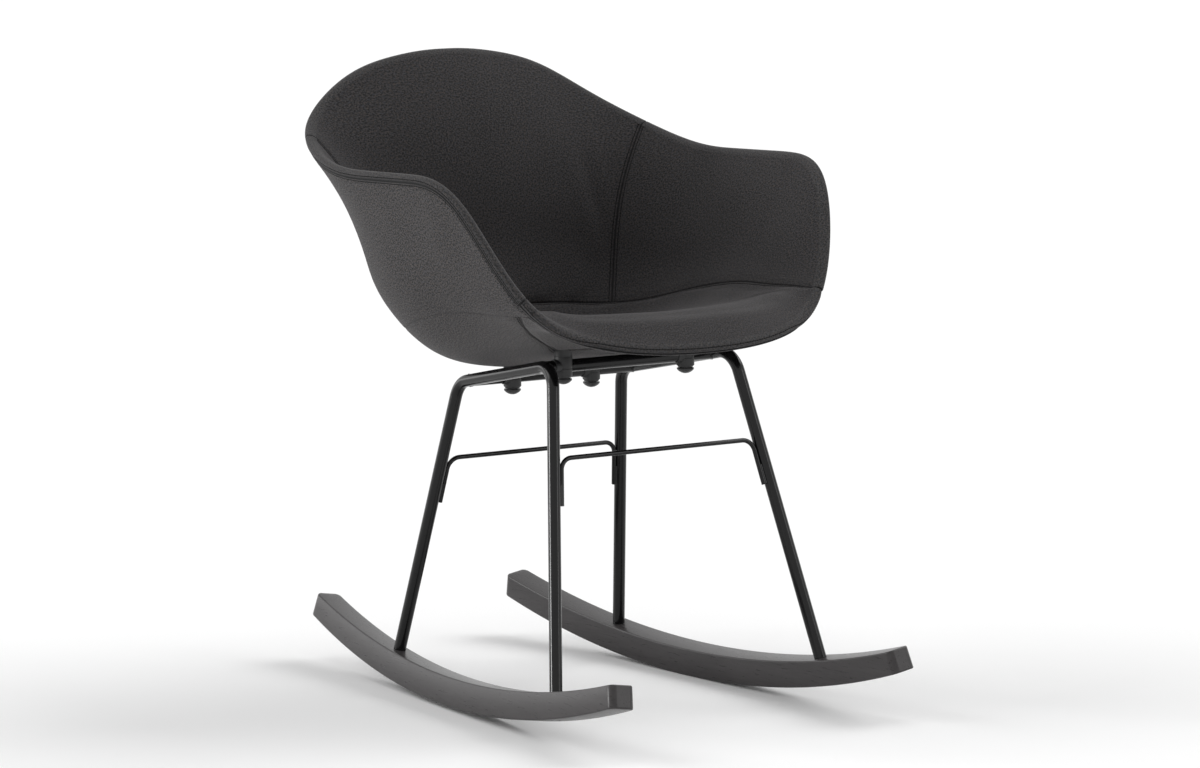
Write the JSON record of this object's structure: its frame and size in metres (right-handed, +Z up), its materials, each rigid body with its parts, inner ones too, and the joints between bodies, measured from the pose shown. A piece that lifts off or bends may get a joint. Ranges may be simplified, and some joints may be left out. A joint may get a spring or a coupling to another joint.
{
  "type": "rocking chair",
  "caption": "Rocking chair with a cloth-covered bucket seat on a bent steel tube frame, rod stretchers and curved black wooden rockers.",
  "frame": {"origin": "on the floor, at the middle of the chair's box in plan; the rockers touch the floor 17.6 mm behind it, towards +Y", "axes": "+Z up, +X to the sitter's left, which is the viewer's right when looking at the back of the seat from the front; the chair faces -Y"},
  "size_m": [0.582, 0.8095, 0.8187],
  "materials": {
    "cloth_inner": "woven wool-like cloth over foam, matt",
    "cloth_outer": "woven wool-like cloth, matt",
    "cloth_edge": "woven wool-like cloth over a rounded edge, matt",
    "shell_plastic": "moulded, matt",
    "frame_black": "satin black powder coat",
    "rocker_wood": "black-stained beech, satin, the grain showing",
    "mount_plastic": "matt black moulding",
    "bolt_black": "satin black cap over a steel bolt",
    "insert_brass": "plain",
    "plug_steel": "zinc plated",
    "screw_steel": "zinc plated, satin"
  },
  "bodies": {
    "root": {"shell": "shell_plastic", "seat_panel": "cloth_inner", "back_panel": "cloth_inner", "arm_panel_right": "cloth_inner", "arm_panel_left": "cloth_inner", "outer_back_panel": "cloth_outer", "outer_arm_right": "cloth_outer", "outer_arm_left": "cloth_outer", "bottom_panel": "cloth_outer", "rim_bead": "cloth_edge", "front_bead": "cloth_edge", "side_frame_right": "frame_black", "side_frame_left": "frame_black", "front_cross_tube": "frame_black", "rear_cross_tube": "frame_black", "front_stretcher": "frame_black", "rear_stretcher": "frame_black", "rocker_right": "rocker_wood", "rocker_left": "rocker_wood", "mount_front_right": "mount_plastic", "mount_front_left": "mount_plastic", "mount_rear_right": "mount_plastic", "mount_rear_left": "mount_plastic", "mount_bolts": "bolt_black", "shell_inserts": "insert_brass", "leg_plugs": "plug_steel", "rocker_screws": "screw_steel"}
  },
  "joints": []
}
